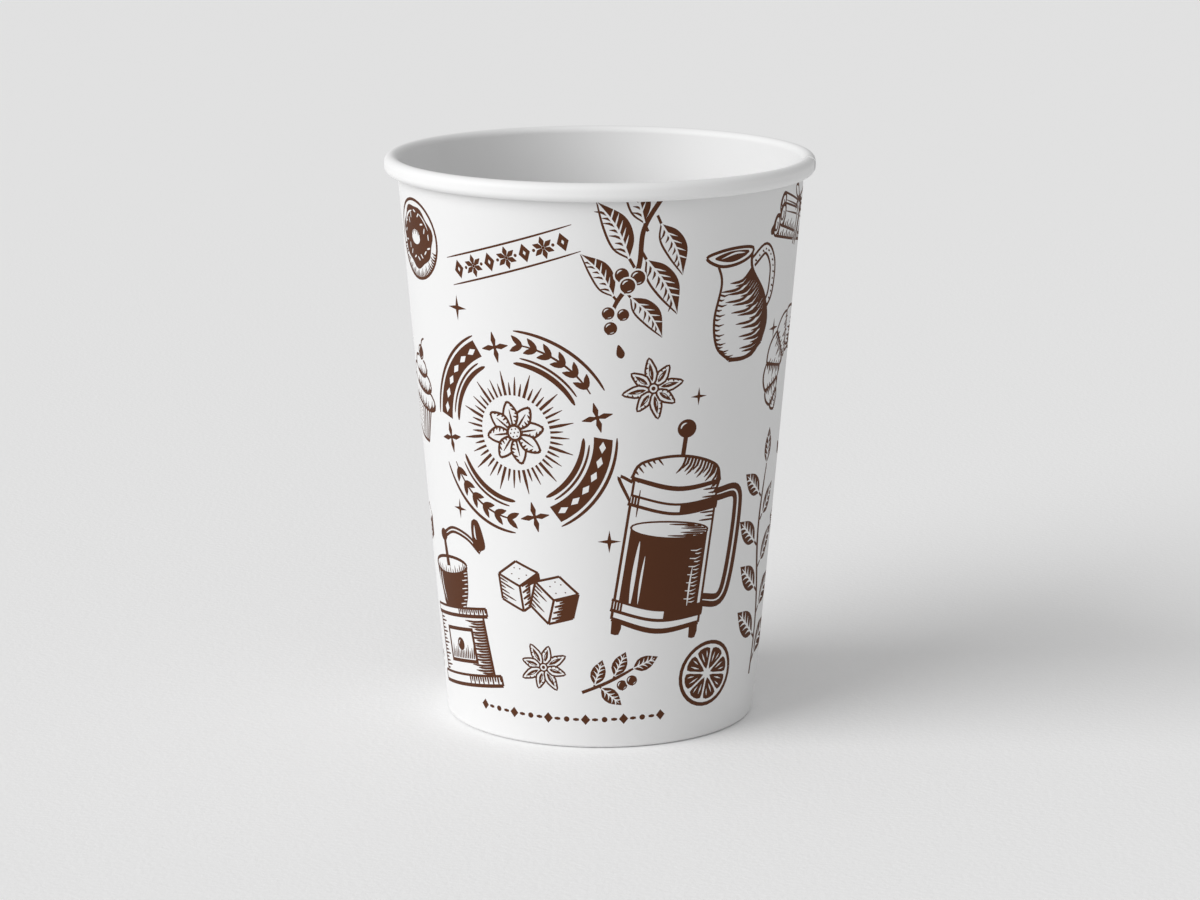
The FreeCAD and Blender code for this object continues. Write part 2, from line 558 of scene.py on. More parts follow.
def stroke(line, width, ends=(1.0, 1.0), inked=True, swell=0.7):
    """Engraved stroke along a line. Its ends are shares of its width, and it swells between.

    Ink spreads a little past both of its edges.
    """
    line = np.array(line, float)
    heading = np.gradient(line, axis=0)
    heading /= np.maximum(np.linalg.norm(heading, axis=1), 1e-9)[:, None]
    side = np.column_stack((-heading[:, 1], heading[:, 0]))
    u = np.linspace(0, 1, len(line))
    thin = ends[0] + (ends[1] - ends[0]) * u
    half = width / 2 * (thin + (1 - thin) * np.sin(np.pi * u) ** swell)[:, None]
    half += ink_spread if inked else 0
    left, right = line + side * half, line - side * half
    return [(np.array((right[i], right[i + 1], left[i + 1], left[i])), inked)
            for i in range(len(line) - 1)]


def glint(line, width):
    """Bare stroke with pointed ends on a dark field."""
    return stroke(line, width, (0.1, 0.1), inked=False)


def comb(line, reach, count, width, sag=0.0, shares=(1.0, 0.7), ends=(1.0, 0.04), span=(0, 1),
         inked=True):
    """Shading strokes that start along a line and reach inwards, long and short in turn.

    sag bows each stroke sideways by that share of its length.
    """
    line = np.array(line, float)
    shapes = []
    for i in range(count):
        u = span[0] + (span[1] - span[0]) * (i + 0.5) / count
        at = u * (len(line) - 1)
        low = min(int(at), len(line) - 2)
        start = line[low] + (line[low + 1] - line[low]) * (at - low)
        way = np.array(reach(u) if callable(reach) else reach, float) * shares[i % len(shares)]
        middle = start + way / 2 + sag * np.array((-way[1], way[0]))
        shapes += stroke(spline((start, middle, start + way), step=1.4, least=1), width, ends,
                         inked=inked)
    return shapes


def outlined(line, width, inked=True):
    """Bare field within an even closed outline."""
    return bare(line) + stroke(line, width, inked=inked)


def leaf(length, width, bend=0.0):
    """Pointed leaf along +X: one half dark with bare veins, the other with ink strokes."""
    rib = spline(((0, 0), (length * 0.5, bend), (length, 0)), step=0.8)
    upper = spline(((0, 0), (length * 0.25, width * 0.42 + bend * 0.7),
                    (length * 0.6, width * 0.46 + bend), (length, 0)), step=0.8)
    lower = spline(((0, 0), (length * 0.25, -width * 0.42 + bend * 0.7),
                    (length * 0.6, -width * 0.40 + bend), (length, 0)), step=0.8)
    shapes = bare(lower + upper[::-1][1:])
    shapes += field(rib + upper[::-1][1:])
    veins = math.ceil(length * 0.4)
    shapes += comb(rib, (width * 0.42, width * 0.42), veins - 1, length * 0.025, inked=False,
                   shares=(0.8,), ends=(1, 0.1), span=(0.12, 0.72))
    shapes += stroke(lower, length * 0.03, (0.6, 0.3))
    shapes += comb(rib, (width * 0.34, -width * 0.36), veins + 1, length * 0.03, sag=0.08,
                   shares=(0.95, 0.7), span=(0.06, 0.8))
    shapes += stroke(rib, length * 0.035, (1, 0.2), inked=False)
    shapes += stroke([rib[0] - (length * 0.16, 0), rib[0] - (length * 0.08, 0), rib[0]],
                     length * 0.04, (1, 1))
    return shapes


def cherry(radius):
    """Round berry, dark with two bare glints."""
    shapes = field(ring((0, 0), radius, radius, count=20))
    shapes += glint(ring((0, 0), radius * 0.68, radius * 0.68, turn=(110, 190), count=7),
                    radius * 0.2)
    shapes += glint(ring((0, 0), radius * 0.72, radius * 0.72, turn=(285, 335), count=5),
                    radius * 0.1)
    shapes += field(ring((0, -radius * 0.96), radius * 0.16, radius * 0.12, count=8))
    return shapes


def sprig():
    """Hanging branch with pairs of leaves and berries, 31 mm long."""
    stem = spline(((0, 15), (-1.2, 7), (0.8, -1), (-0.6, -9), (0.4, -14)))
    shapes = stroke(stem, 0.9, (1, 0.3))
    for height, length, lean_out in ((9, 11.5, 24), (1.5, 13, 18), (-6.5, 10.5, 10)):
        shapes += moved(leaf(length, length * 0.42, 0.8), (1.6, height), -lean_out - 20)
        shapes += moved(leaf(length, length * 0.42, 0.8), (-1.6, height - 1), -lean_out - 20,
                        flip=True)
    for x, y, r in ((1.4, -2.4, 1.5), (-1.7, -3.0, 1.4), (0.2, -4.6, 1.5), (1.6, -10.2, 1.2),
                    (-1.2, -11.0, 1.25), (0.4, -13.6, 1.3)):
        shapes += bare(ring((x, y), r + 0.35, r + 0.35, count=16))
        shapes += moved(cherry(r), (x, y))
    return shapes


def star_anise():
    """Star of eight pods, each with its seed, 13 mm across."""
    shapes = []
    for arm in range(8):
        length = 6.4 if arm % 2 == 0 else 5.6
        pod = []
        outer = spline(((0.7, 0), (length * 0.45, 1.25), (length * 0.8, 0.75), (length, 0),
                        (length * 0.8, -0.75), (length * 0.45, -1.25)), closed=True, step=1.4)
        pod += outlined(outer, 0.34)
        pod += comb(outer[:len(outer) // 2], (0, -0.6), 4, 0.26, shares=(1, 0.7),
                    span=(0.2, 0.95))
        inner = spline(((1.5, 0), (length * 0.5, 0.5), (length * 0.85, 0), (length * 0.5, -0.5)),
                       closed=True, step=1.4)
        pod += field(inner)
        pod += glint(ring((length * 0.5, 0.02), 0.7, 0.22, turn=(20, 160), count=3), 0.16)
        shapes += moved(pod, (0, 0), arm * 45 + 10)
    shapes += outlined(ring((0, 0), 1.0, 1.0, count=14), 0.3)
    shapes += field(ring((0, 0), 0.45, 0.45, count=10))
    return shapes


def cinnamon_stick(length, radius):
    """Rolled bark along +X, seen from its end: a scroll in front and hatched sides."""
    body = [(0, radius), (length, radius * 0.94), (length, -radius * 0.94), (0, -radius)]
    shapes = bare(body)
    shapes += stroke(spline(((0, radius), (length / 2, radius * 1.04), (length, radius * 0.94))),
                     0.35, (1, 0.6))
    shapes += stroke(spline(((0, -radius), (length / 2, -radius * 1.04),
                             (length, -radius * 0.94))), 0.45, (1, 0.8))
    under = spline(((0.8, -radius), (length, -radius * 0.94)), step=0.5)
    shapes += comb(under, (0.25, radius * 0.95), 20, 0.4, sag=0.15,
                   shares=(1, 0.55, 0.8, 0.45), ends=(1.2, 0.05))
    shapes += stroke(spline(((radius * 0.6, radius * 0.35), (length * 0.5, radius * 0.5),
                             (length * 0.95, radius * 0.3))), 0.3, (0.1, 0.1))
    shapes += stroke(ring((length, 0), radius * 0.42, radius * 0.94, turn=(-90, 90), count=10),
                     0.4, (1, 1))
    shapes += outlined(ring((0, 0), radius * 0.55, radius, count=18), 0.4)
    scroll = [(radius * 0.5 * (1 - t * 0.75) * math.cos(7.5 * t + 0.4),
               radius * 0.9 * (1 - t * 0.75) * math.sin(7.5 * t + 0.4))
              for t in np.linspace(0, 1, 22)]
    shapes += stroke(scroll, 0.34, (0.6, 0.6))
    return shapes


def cinnamon():
    """Three sticks of bark tied with a double cord, 26 mm long."""
    shapes = []
    for x, y, tilt, radius in ((-11, 2.4, -3, 2.0), (-12, -2.2, 4, 2.1), (-10.2, 0.2, 0, 2.2)):
        shapes += moved(cinnamon_stick(21.5, radius), (x, y), tilt)
    for x in (-0.9, 0.9):
        band = spline(((x, 4.9), (x + 0.7, 2.2), (x + 0.9, -1.5), (x + 0.2, -4.6)))
        shapes += stroke(band, 1.5, (0.8, 0.8), inked=False)
        shapes += stroke(band, 0.75, (0.9, 0.9))
    for side in (-1, 1):
        loop = spline(((0.2, 4.4), (side * 2.6, 6.8), (side * 4.6, 6.4), (side * 3.0, 4.8)),
                      closed=True)
        shapes += stroke(loop, 0.5)
        shapes += stroke(spline(((0.2, 4.4), (side * 1.8, 3.4), (side * 2.4, 1.8))), 0.7,
                         (0.5, 0.2))
    return shapes


def sugar_cube():
    """Lump of sugar from above one corner, with one face in shade."""
    size = 4.6
    a, b = size * 0.87, size * 0.5
    top = [(0, b * 2), (-a, b), (0, 0), (a, b)]
    left = [(-a, b), (-a, b - size), (0, -size), (0, 0)]
    right = [(0, 0), (0, -size), (a, b - size), (a, b)]
    shapes = []
    for face in (top, left, right):
        shapes += bare(face)
    shapes += comb([(a, b), (a, b - size)], (-a * 0.9, -b * 0.9), 8, 0.42, shares=(1, 0.8),
                   ends=(1.1, 0.5))
    shapes += comb([(-a, b - 0.3), (-a, b - size + 0.2)], (a * 0.7, -b * 0.7), 6, 0.22,
                   shares=(0.6, 1, 0.4), ends=(1, 0.05))
    for corners in ((top[1], top[0]), (top[0], top[3]), (top[3], top[2]), (top[2], top[1]),
                    (left[0], left[1]), (left[1], left[2]), (left[2], left[3]),
                    (right[1], right[2]), (right[2], right[3])):
        shapes += stroke(spline(corners), 0.36)
    for x, y in ((-1.2, 2.3), (0.6, 3.2), (1.7, 2.0), (0.1, 1.4), (-0.5, 3.4)):
        shapes += field(ring((x, y), 0.16, 0.13, count=6))
    return shapes


def sugar():
    """Two lumps leaning on each other, 16 mm across."""
    shapes = moved(sugar_cube(), (-3.0, 0.4), 8)
    front = ((-4.3, 2.4), (-4.3, -2.6), (0, -5.1), (4.3, -2.6), (4.3, 2.4), (0, 4.9))
    shapes += bare(np.array(front) + (3.4, -1.6))
    shapes += moved(sugar_cube(), (3.4, -1.6), -14)
    return shapes


def croissant():
    """Crescent roll of nine folds that narrow towards its tips, 24 mm wide."""
    def at(angle, share):
        u = (205 - angle) / 230
        half = 0.9 + 3.9 * max(0.0, math.sin(math.pi * (0.04 + 0.92 * u))) ** 0.9
        radius = 8.6 + half * share
        turn = math.radians(angle)
        return (radius * math.cos(turn), radius * math.sin(turn) * 0.86)

    shapes = []
    cuts = np.array((205, 187, 163, 134, 102, 71, 43, 18, -4, -25))
    for high, low in zip(cuts, cuts[1:]):
        over = (high + low - 180) / 40
        steps = np.linspace(0, 1, 9)
        outer = [at(high + over + (low - high) * u, 1 + 0.16 * math.sin(math.pi * u))
                 for u in steps]
        inner = [at(low - (low - high) * u, -1 - 0.1 * math.sin(math.pi * u)) for u in steps]
        fold = spline(outer + inner, closed=True, step=1.8, least=1)
        shapes += outlined(fold, 0.5)
        edge = spline((at(low, -0.9), at(low + 2, 0.0), at(low + over, 0.95)), step=0.8)
        middle = math.radians((high + low) / 2)
        width = 8.6 * math.radians(high - low)
        way = (-math.sin(middle) * width * 0.62, math.cos(middle) * width * 0.55)
        shapes += comb(edge, way, 8, 0.5, sag=0.1, shares=(1, 0.55, 0.8, 0.45),
                       ends=(1.2, 0.05))
        back = spline((at(high, -0.8), at(high - 1, 0.0), at(high + over, 0.85)), step=0.8)
        shapes += comb(back, (-way[0] * 0.4, -way[1] * 0.4), 5, 0.3, shares=(1, 0.6))
    return shapes


def doughnut():
    """Iced ring with sprinkles, 17 mm across."""
    shapes = outlined(ring((0, 0), 8.4, 7.6, count=36), 0.5)
    low = ring((0, 0), 8.4, 7.6, turn=(195, 345), count=24)
    shapes += comb(low, lambda u: (-math.cos(math.pi * (1.08 + 0.84 * u)) * 1.9,
                                   -math.sin(math.pi * (1.08 + 0.84 * u)) * 1.9),
                   30, 0.32, sag=0.1, shares=(1, 0.6, 0.8), ends=(1.2, 0.05))
    wave = []
    for i in range(40):
        a = 2 * math.pi * i / 40
        ripple = 1 + 0.045 * math.sin(7 * a) + 0.03 * math.sin(4 * a + 1)
        wave.append((6.9 * ripple * math.cos(a), 0.5 + 5.9 * ripple * math.sin(a)))
    shapes += field(wave)
    shapes += glint(ring((0, 0.5), 5.9, 4.9, turn=(100, 165), count=8), 0.5)
    shapes += glint(ring((0, 0.5), 5.9, 4.9, turn=(20, 70), count=7), 0.3)
    rng = np.random.default_rng(5)
    for i in range(17):
        a = 2 * math.pi * (i + 0.3 * rng.random()) / 17
        reach = 0.62 + 0.22 * rng.random()
        centre = np.array((6.9 * reach * math.cos(a), 0.5 + 5.9 * reach * math.sin(a)))
        tilt = rng.random() * math.pi
        half = np.array((math.cos(tilt), math.sin(tilt))) * 0.55
        shapes += stroke([centre - half, centre, centre + half], 0.36, (0.7, 0.7), inked=False)
    shapes += outlined(ring((0, 0.4), 2.3, 1.7, count=20), 0.4)
    shapes += comb(ring((0, 0.4), 2.3, 1.7, turn=(20, 160), count=14), (0, -1.2), 9, 0.24,
                   shares=(1, 0.6))
    return shapes


def muffin():
    """Domed bun in a pleated case with a cherry on top, 15 mm wide."""
    shapes = []
    case = [(-5.6, 0), (-4.2, -7.4), (4.2, -7.4), (5.6, 0)]
    shapes += bare(case)
    for i in range(9):
        u0, u1 = i / 9, (i + 0.5) / 9
        dark = [(-5.6 + 11.2 * u0, 0), (-5.6 + 11.2 * u1, 0), (-4.2 + 8.4 * u1, -7.4),
                (-4.2 + 8.4 * u0, -7.4)]
        if i > 4:
            shapes += field(dark)
        else:
            shapes += comb([dark[0], dark[3]], (0.55, -0.1), 9, 0.3, shares=(1, 0.7),
                           ends=(1, 0.2))
    shapes += stroke(spline(((-5.6, 0), (-4.2, -7.4)), step=0.5), 0.4)
    shapes += stroke(spline(((4.2, -7.4), (5.6, 0)), step=0.5), 0.4)
    shapes += stroke(spline(((-4.2, -7.4), (0, -7.9), (4.2, -7.4))), 0.5)
    for y, half, thick in ((0.6, 7.4, 2.6), (3.6, 5.6, 2.5), (6.2, 3.4, 2.1)):
        lump = spline(((-half, y - 0.2), (-half * 0.8, y + thick * 0.75), (0, y + thick),
                       (half * 0.8, y + thick * 0.75), (half, y - 0.2),
                       (half * 0.5, y - thick * 0.62), (-half * 0.5, y - thick * 0.62)),
                      closed=True, step=0.9)
        shapes += outlined(lump, 0.42)
        shapes += comb(spline(((-half * 0.5, y - thick * 0.62), (half * 0.5, y - thick * 0.62),
                               (half, y - 0.2)), step=0.9), (0.9, thick * 0.8),
                       14, 0.36, sag=-0.15, shares=(0.9, 0.5, 1.1, 0.6), ends=(1.2, 0.05))
    shapes += bare(ring((0.4, 9.4), 1.8, 1.8, count=16))
    shapes += moved(cherry(1.5), (0.4, 9.4))
    shapes += stroke(spline(((0.5, 10.6), (1.0, 12.0), (2.2, 12.8))), 0.35, (1, 0.5))
    return shapes


def jug():
    """Jug with a lip and a looped handle, 22 mm tall."""
    left = spline(((-4.2, 9.0), (-3.9, 5.0), (-6.6, -1.0), (-6.9, -6.2), (-4.6, -9.6)))
    right = spline(((4.6, -9.6), (6.9, -6.2), (6.6, -1.0), (3.9, 5.0), (4.4, 8.6)))
    handle = spline(((4.3, 6.2), (8.4, 7.2), (10.2, 3.4), (8.8, -1.4), (6.6, -3.4)))
    shapes = stroke(handle, 2.2, (1, 0.8))
    shapes += stroke(handle, 1.3, (0.9, 0.5), inked=False)
    shapes += comb(handle, (0.5, -0.5), 14, 0.26, shares=(1, 0.7))
    shapes += bare(left + right)
    shapes += stroke(left, 0.45)
    shapes += stroke(right, 0.6)
    foot = spline(((-4.6, -9.6), (0, -10.7), (4.6, -9.6)))
    shapes += stroke(foot, 0.7)
    shapes += comb(right, lambda u: (-7.4 - 1.5 * math.sin(math.pi * u), -1.2), 26, 0.5,
                   sag=0.16, shares=(1, 0.72, 0.88, 0.6), ends=(1.2, 0.04), span=(0.02, 0.84))
    shapes += comb(left, (2.2, -0.7), 16, 0.3, sag=-0.12, shares=(1, 0.6), span=(0.3, 0.98))
    lip = spline(((-6.3, 10.6), (-3.2, 10.9), (1.2, 10.2), (4.6, 8.9), (3.6, 7.6), (0, 7.4),
                  (-3.8, 8.3)), closed=True)
    shapes += outlined(lip, 0.5)
    mouth = spline(((-4.6, 10.1), (-1.0, 10.2), (3.4, 8.9), (2.6, 8.2), (-0.6, 8.1),
                    (-3.2, 9.0)), closed=True)
    shapes += field(mouth)
    shapes += glint(spline(((-3.2, 9.5), (0, 9.5), (2.4, 8.8))), 0.35)
    return shapes


def cafetiere():
    """Glass pot with a plunger, two metal bands and a side handle, 40 mm tall."""
    shapes = []
    handle = spline(((8.2, 9.0), (13.4, 9.4), (14.6, 5.0), (14.2, -6.0), (12.6, -10.4),
                     (8.2, -10.4)))
    shapes += stroke(handle, 2.6, (0.9, 0.9))
    shapes += stroke(handle, 0.5, (0.2, 0.2), inked=False)
    glass = [(-8.4, 11.5), (-8.4, -14.6), (8.4, -14.6), (8.4, 11.5)]
    shapes += bare(glass)
    shapes += field(spline(((-7.6, 2.6), (0, 1.2), (7.6, 2.6)), step=1.2)
                    + spline(((7.6, -12.6), (0, -14.4), (-7.6, -12.6)), step=1.2))
    shapes += stroke(ring((0, 2.6), 7.6, 1.5, count=26), 0.3)
    shapes += bare(ring((0, 2.6), 7.4, 1.35, count=26))
    shapes += comb(ring((0, 2.6), 7.4, 1.35, turn=(-60, 60), count=12), (-5.2, 0), 7, 0.24,
                   shares=(1, 0.7))
    for x, low, high, width in ((-5.6, -12.2, 0.2, 0.75), (-4.2, -11.4, -2.4, 0.4),
                                (5.4, -11.8, -4.0, 0.35)):
        shapes += glint(spline(((x, low), (x - 0.1, (low + high) / 2), (x, high))), width)
    shapes += comb([(6.9, -0.4), (6.9, -12.4)], (-2.6, -0.4), 16, 0.22, sag=0.1, inked=False,
                   shares=(0.9, 0.5), ends=(0.1, 0.6))
    for x in (-8.4, 8.4):
        shapes += stroke(spline(((x, 11.5), (x, -14.6)), step=1.5), 0.42)
    shapes += comb([(8.3, 10.6), (8.3, 4.2)], (-3.0, -0.2), 9, 0.26, shares=(1, 0.6))
    shapes += stroke(spline(((-7.0, 9.6), (-7.0, 4.6)), step=1.5), 0.35, (0.1, 0.1))
    for y, depth in ((8.6, 1.7), (-11.0, 1.9)):
        upper = spline(((-8.9, y), (0, y - 1.3), (8.9, y)), step=1.2)
        lower = spline(((8.9, y - depth), (0, y - depth - 1.3), (-8.9, y - depth)), step=1.2)
        shapes += bare(upper + lower)
        shapes += stroke(upper, 0.36)
        shapes += stroke(lower, 0.5)
        shapes += comb(upper, (0, -depth), 22, 0.42, shares=(1,), ends=(1, 1), span=(0.56, 1))
        shapes += comb(upper, (0, -depth), 4, 0.3, shares=(1,), ends=(1, 1), span=(0, 0.12))
    base_line = spline(((-8.4, -14.6), (0, -16.2), (8.4, -14.6)), step=1.2)
    shapes += stroke(base_line, 0.9, (0.8, 0.8))
    for x in (-7.4, 7.4):
        shapes += field(spline(((x - 0.9, -15.0), (x + 0.9, -15.0), (x + 0.7, -17.4),
                                (x - 0.7, -17.4)), step=1.5))
    dome = spline(((-8.9, 11.6), (-7.6, 14.4), (-2.6, 16.0), (2.6, 16.0), (7.6, 14.4),
                   (8.9, 11.6)))
    skirt = spline(((8.9, 11.6), (0, 10.2), (-8.9, 11.6)), step=1.2)
    shapes += bare(dome + skirt[1:])
    shapes += stroke(dome, 0.45)
    shapes += stroke(skirt, 0.8, (0.8, 0.8))
    shapes += comb(dome[len(dome) // 2:], (-1.6, -3.2), 15, 0.42, sag=0.12,
                   shares=(1, 0.7, 0.85), ends=(1.1, 0.05))
    shapes += comb(dome[:len(dome) // 3], (1.2, -1.2), 7, 0.26, shares=(1, 0.6))
    shapes += field([(-0.45, 16.0), (0.45, 16.0), (0.45, 20.0), (-0.45, 20.0)])
    shapes += field(ring((0, 21.2), 1.9, 1.7, count=18))
    shapes += glint(ring((0, 21.2), 1.2, 1.0, turn=(100, 190), count=6), 0.35)
    spout = spline(((-8.6, 10.9), (-11.2, 11.6), (-8.6, 7.4)), step=0.8)
    shapes += bare(spout)
    shapes += stroke(spout, 0.5, (1, 0.8))
    return shapes


def hand_mill():
    """Box mill with a drawer, a bowl and a crank, 32 mm tall."""
    shapes = []
    box = [(-8.6, -3.0), (-8.6, -14.2), (8.6, -14.2), (8.6, -3.0)]
    shapes += bare(box)
    shapes += comb([(8.4, -3.6), (8.4, -14.0)], (-5.4, 0.1), 20, 0.34, sag=0.03,
                   shares=(1, 0.7, 0.85, 0.55), ends=(1.2, 0.05))
    shapes += comb([(-8.4, -3.6), (-8.4, -14.0)], (2.8, 0.1), 15, 0.26,
                   shares=(0.7, 1, 0.5), ends=(1, 0.05))
    for y, half, height in ((-2.2, 9.8, 1.5), (-15.2, 10.2, 1.9)):
        plank = [(-half, y + height / 2), (-half, y - height / 2), (half, y - height / 2),
                 (half, y + height / 2)]
        shapes += bare(plank)
        shapes += stroke(spline((plank[0], plank[3]), step=1.5), 0.4)
        shapes += stroke(spline((plank[1], plank[2]), step=1.5), 0.6)
        shapes += stroke(spline((plank[0], plank[1]), step=1.5), 0.4)
        shapes += stroke(spline((plank[3], plank[2]), step=1.5), 0.4)
        shapes += comb([plank[0], plank[3]], (0, -height), 14, 0.36, shares=(1, 0.6),
                       ends=(1, 0.4), span=(0.55, 1))
    for x in (-8.6, 8.6):
        shapes += stroke(spline(((x, -3.0), (x, -14.2)), step=1.5), 0.45)
    drawer = [(-4.9, -5.2), (-4.9, -12.0), (4.9, -12.0), (4.9, -5.2)]
    shapes += field(drawer)
    shapes += bare([(-4.2, -5.9), (-4.2, -11.3), (4.2, -11.3), (4.2, -5.9)])
    shapes += comb([(-4.1, -11.1), (4.1, -11.1)], (0.5, 2.6), 13, 0.3, shares=(1, 0.6, 0.8))
    shapes += field(ring((0, -8.4), 1.25, 1.25, count=14))
    shapes += glint(ring((0, -8.4), 0.7, 0.7, turn=(100, 190), count=5), 0.25)
    bowl = spline(((-4.2, -1.4), (-5.6, 1.4), (-6.6, 5.6), (-6.2, 6.6)))
    bowl_right = spline(((6.2, 6.6), (6.6, 5.6), (5.6, 1.4), (4.2, -1.4)))
    shapes += field(bowl + bowl_right)
    for shift, width in ((0.0, 0.55), (1.3, 0.35)):
        shapes += glint(spline(((-4.6 + shift, -0.4), (-5.6 + shift, 2.4), (-5.6 + shift, 5.6))),
                        width)
    shapes += comb(bowl_right, (-2.0, -0.2), 12, 0.2, shares=(1, 0.6), inked=False,
                   ends=(0.1, 0.5))
    shapes += outlined(ring((0, 6.5), 6.6, 1.7, count=26), 0.5)
    shapes += comb(ring((0, 6.5), 6.5, 1.6, turn=(200, 340), count=16), (0, 1.5), 16, 0.24,
                   shares=(1, 0.6))
    shapes += field([(-0.7, 6.4), (0.7, 6.4), (0.5, 12.2), (-0.5, 12.2)])
    crank = spline(((0, 12.2), (4.2, 13.4), (8.6, 12.0), (11.4, 9.2)))
    shapes += stroke(crank, 1.25, (1, 0.8))
    shapes += glint(crank, 0.3)
    shapes += field(ring((0, 12.3), 1.35, 1.2, count=14))
    grip = spline(((10.2, 9.8), (12.7, 9.8), (12.9, 12.4), (12.2, 15.2), (10.6, 15.2),
                   (9.9, 12.4)), closed=True, step=0.8)
    shapes += field(grip)
    shapes += glint(spline(((10.9, 10.8), (10.8, 12.6), (11.1, 14.4))), 0.4)
    return shapes


def rosette():
    """Sun with a flower in its middle, inside broken rings of leaves and bands, 34 mm across."""
    shapes = []
    for i in range(48):
        angle = i * 7.5
        inner = 6.4
        outer = (10.6, 8.6, 9.6, 8.6)[i % 4]
        ray = np.array(((inner, 0), ((inner + outer) / 2, 0), (outer, 0)))
        shapes += moved(stroke(ray, 0.42 if i % 4 == 0 else 0.3, (1.1, 0.05)), (0, 0), angle)
    for i in range(8):
        petal = spline(((0.9, 0), (3.0, 1.35), (5.3, 0), (3.0, -1.35)), closed=True, step=0.6)
        drawn = outlined(petal, 0.32)
        drawn += comb(petal[len(petal) // 2:], (0.3, 0.8), 7, 0.26, shares=(1, 0.65),
                      span=(0.05, 0.9))
        drawn += stroke(spline(((1.4, 0), (4.0, 0))), 0.25, (1, 0.1))
        shapes += moved(drawn, (0, 0), i * 45)
    shapes += outlined(ring((0, 0), 1.25, 1.25, count=14), 0.34)
    for i in range(7):
        a = 2 * math.pi * i / 6
        dot = (0, 0) if i == 6 else (0.72 * math.cos(a), 0.72 * math.sin(a))
        shapes += field(ring(dot, 0.16, 0.16, count=6))
    for start in (14, 104, 194, 284):
        for radius, width, inset in ((11.9, 0.85, 0), (12.9, 0.36, 5), (17.4, 0.5, 0)):
            arc = ring((0, 0), radius, radius, turn=(start + inset, start + 62 - inset), count=22)
            shapes += stroke(arc, width, (0.15, 0.15), swell=0.35)
        a = math.radians(start - 14)
        centre = 14.6 * np.array((math.cos(a), math.sin(a)))
        for i in range(4):
            point = stroke(np.array(((0.3, 0), (1.2, 0), (2.6, 0))), 0.9, (0.4, 0.05))
            shapes += moved(point, centre, i * 90 + math.degrees(a))
        shapes += field(ring(centre, 0.42, 0.42, count=8))
    for start in (14, 194):
        shapes += stroke(ring((0, 0), 15.1, 15.1, turn=(start + 2, start + 60), count=16), 0.3,
                         (0.4, 0.4))
        for step in range(6):
            a = start + 6 + step * 10
            at = 15.1 * np.array((math.cos(math.radians(a)), math.sin(math.radians(a))))
            pair = stroke(spline(((0, 0), (0.9, 0.55), (2.1, 1.35)), step=0.8), 0.95, (0.2, 0.05))
            pair += stroke(spline(((0, 0), (0.9, -0.55), (2.1, -1.35)), step=0.8), 0.95,
                           (0.2, 0.05))
            shapes += moved(pair, at, a + 90)
    for start in (104, 284):
        band = ring((0, 0), 16.7, 16.7, turn=(start + 1, start + 61), count=16)
        shapes += field(band + ring((0, 0), 13.6, 13.6, turn=(start + 63, start - 1), count=16))
        for step in range(6):
            a = math.radians(start + 6 + step * 10)
            diamond = [(-1.0, 0), (0, -0.55), (1.0, 0), (0, 0.55)]
            shapes += moved(bare(diamond), (15.1 * math.cos(a), 15.1 * math.sin(a)),
                            math.degrees(a) + 90)
    return shapes


def dark_leaf(length, width):
    """Pointed leaf along +X, all dark but for its rib and veins."""
    upper = spline(((0, 0), (length * 0.25, width * 0.44), (length * 0.6, width * 0.46),
                    (length, 0)), step=1.2)
    lower = [point * (1, -1) for point in upper]
    rib = spline(((0, 0), (length * 0.45, 0), (length * 0.88, 0)), step=1.5)
    shapes = field(lower + upper[::-1][1:-1])
    shapes += stroke(rib, length * 0.05, (1, 0.2), inked=False)
    for side in (-1, 1):
        shapes += comb(rib, (length * 0.17, side * width * 0.34), 4, length * 0.042,
                       sag=-0.1 * side, inked=False, shares=(1,), ends=(1, 0.15),
                       span=(0.08, 0.86))
    shapes += stroke([(-length * 0.18, 0), (-length * 0.09, 0), (0, 0)], length * 0.05)
    return shapes


def leaf_column():
    """Upright garland of dark leaves on a waving stem, 47 mm tall."""
    stem = [(1.3 * math.sin(t * 6.6), -21 + 40 * t) for t in np.linspace(0, 1, 36)]
    shapes = stroke(stem, 0.8, (0.8, 0.4))
    for i in range(8):
        t = 0.06 + 0.115 * i
        at = (1.3 * math.sin(t * 6.6), -21 + 40 * t)
        size = 9.4 - 0.3 * i
        turn = 1 if i % 2 == 0 else -1
        shapes += moved(dark_leaf(size, size * 0.5), (at[0] + turn * 1.5, at[1] + 1.0), turn * 40,
                        flip=turn < 0)
    shapes += moved(dark_leaf(6.8, 3.4), (0.5, 19.6), 88)
    return shapes


def drop():
    """Small drop, 3 mm long."""
    size = 1.6
    return field(spline(((0, size * 1.3), (size * 0.55, 0), (0, -size * 0.6), (-size * 0.55, 0)),
                        closed=True, step=0.5))


def spark():
    """Star of four points, 4 mm across."""
    size = 2.0
    return field([(0, size), (size * 0.16, size * 0.16), (size, 0), (size * 0.16, -size * 0.16),
                  (0, -size), (-size * 0.16, -size * 0.16), (-size, 0),
                  (-size * 0.16, size * 0.16)][::-1])


def orange_slice():
    """Round slice of an orange with eight dark segments, 14 mm across."""
    shapes = outlined(ring((0, 0), 6.4, 6.4, count=30), 0.7)
    for i in range(8):
        segment = spline(((0.9, 0), (3.0, -1.0), (4.9, -1.6), (5.5, 0), (4.9, 1.6), (3.0, 1.0)),
                         closed=True, step=1.4)
        piece = field(segment)
        piece += glint([(2.4, 0.15), (3.4, 0.4), (4.5, 0.6)], 0.32)
        piece += glint([(3.2, -0.5), (4.0, -0.65), (4.7, -0.7)], 0.28)
        shapes += moved(piece, (0, 0), i * 45 + 12)
    return shapes


